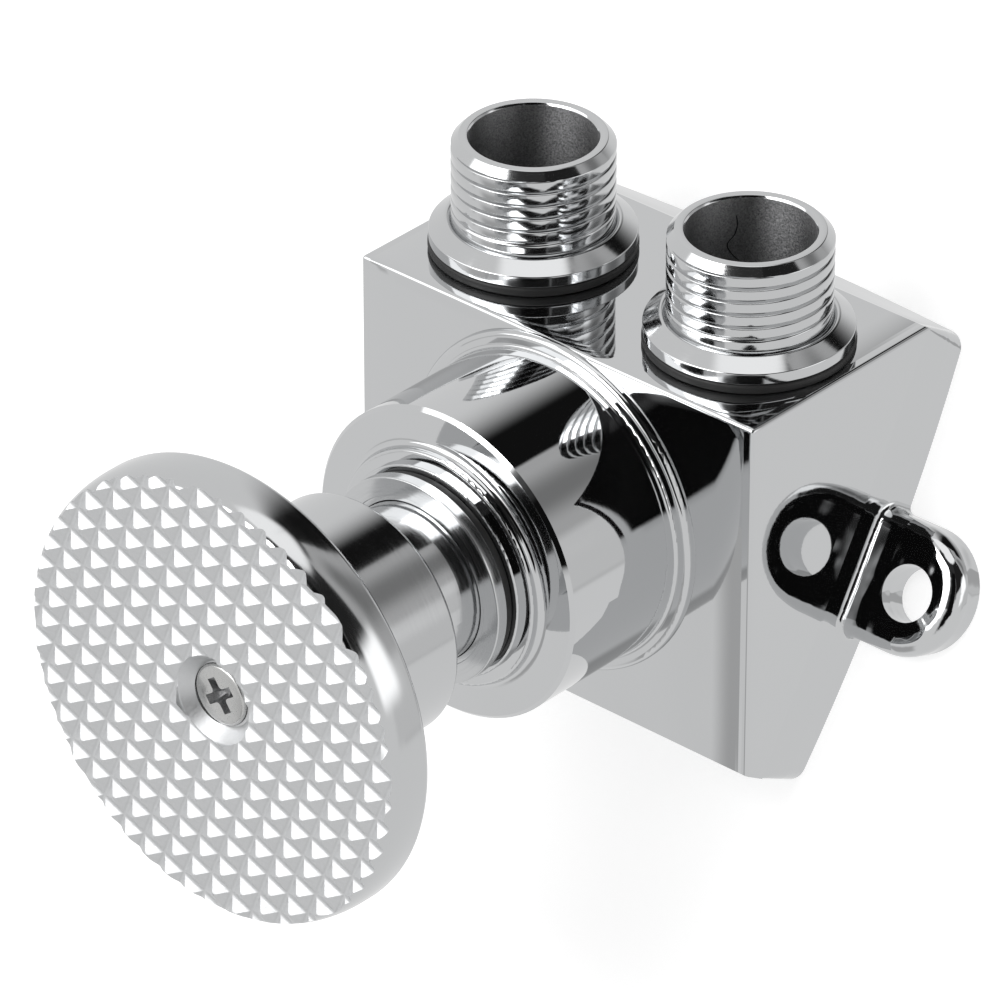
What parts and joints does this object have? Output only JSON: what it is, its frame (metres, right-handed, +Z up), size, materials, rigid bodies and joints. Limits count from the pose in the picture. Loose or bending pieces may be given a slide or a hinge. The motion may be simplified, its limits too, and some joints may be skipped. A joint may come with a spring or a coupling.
{
  "type": "foot pedal valve",
  "caption": "Wedge-shaped floor valve with two side ears, two upright threaded nipples and a round knurled pedal on a sprung plunger.",
  "frame": {"origin": "on the mounting face, midway between the two ear holes", "axes": "+Z up from the floor along the ear holes, +X along the line of the ear holes, from the inlet to the outlet, +Y up the wedge, away from the pedal side"},
  "size_m": [0.0964, 0.1049, 0.0952],
  "materials": {
    "chrome": "polished chrome plating on brass",
    "satin_chrome": "ground and plated, slightly satin",
    "screw_steel": "bright stainless steel",
    "black_rubber": "moulded black rubber, matt",
    "bare_brass": "turned brass, unplated",
    "gasket_fibre": "pressed fibre, matt"
  },
  "bodies": {
    "housing": {"valve_body": "chrome", "inlet_nipple": "chrome", "outlet_nipple": "chrome", "inlet_nipple_seal": "black_rubber", "outlet_nipple_seal": "black_rubber", "gland_bush": "chrome", "gland_seal": "black_rubber", "seat_insert": "bare_brass", "seat_gasket": "gasket_fibre", "return_spring": "screw_steel"},
    "spring_follower": {"spring_washer": "screw_steel"},
    "pedal_group": {"plunger": "satin_chrome", "plunger_ring_outer": "black_rubber", "plunger_ring_inner": "black_rubber", "poppet_disc": "black_rubber", "poppet_cup": "bare_brass", "poppet_washer": "bare_brass", "poppet_nut": "bare_brass", "pedal": "chrome", "pedal_screw": "screw_steel"}
  },
  "joints": [
    {"name": "pedal_press", "type": "slide", "parent": "housing", "child": "spring_follower", "axis": [0, 0.515, -0.8572], "range_m": [0, 0.006], "stiffness_N_per_m": 3100, "springref_m": -0.008, "deforming": ["return_spring"]},
    {"name": "pedal_turn", "type": "hinge", "parent": "spring_follower", "child": "pedal_group", "pos_m": [0, -0.02323, 0.05597], "axis": [0, 0.515, -0.8572], "continuous": true}
  ]
}
